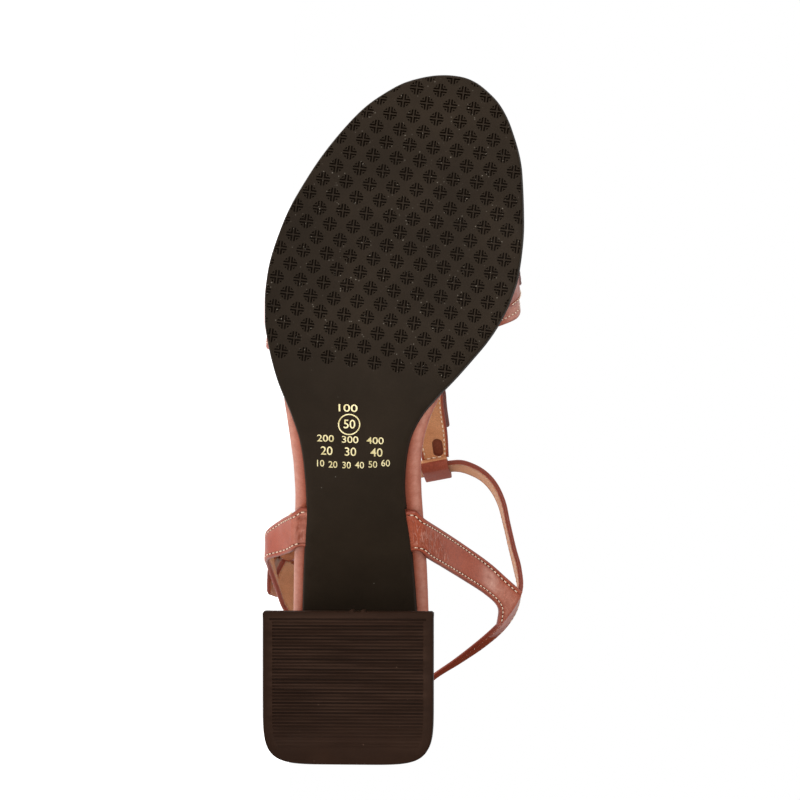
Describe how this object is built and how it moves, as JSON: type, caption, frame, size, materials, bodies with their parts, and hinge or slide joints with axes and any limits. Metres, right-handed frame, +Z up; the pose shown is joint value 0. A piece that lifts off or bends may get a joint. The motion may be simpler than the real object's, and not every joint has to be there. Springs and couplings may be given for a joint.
{
  "type": "heeled sandal",
  "caption": "Open block-heel sandal for the right foot with a vamp band, T-bar, buckled ankle strap, covered footbed and patterned rubber outsole, lying on its outer side.",
  "frame": {"origin": "centre of the bounding box on the floor, with the sandal lying on its outer side", "axes": "+X from toe to heel, +Z up from the floor toward the inner side of the shoe, +Y from the sole toward the upper, so that the sole faces -Y"},
  "size_m": [0.239, 0.104, 0.0925],
  "materials": {
    "outsole_rubber": "satin moulded rubber",
    "toplift_rubber": "satin moulded rubber with fine ribs",
    "heel_cover": "smooth dark brown covering",
    "footbed_leather": "smooth, slightly glossy",
    "strap_leather": "smooth, slightly glossy",
    "buckle_metal": "polished"
  },
  "bodies": {
    "root": {"outsole": "outsole_rubber", "footbed": "footbed_leather", "heel_block": "heel_cover", "heel_toplift": "toplift_rubber", "upper_vamp_and_tbar": "strap_leather", "upper_quarter_straps": "strap_leather", "buckle": "buckle_metal"}
  },
  "joints": []
}
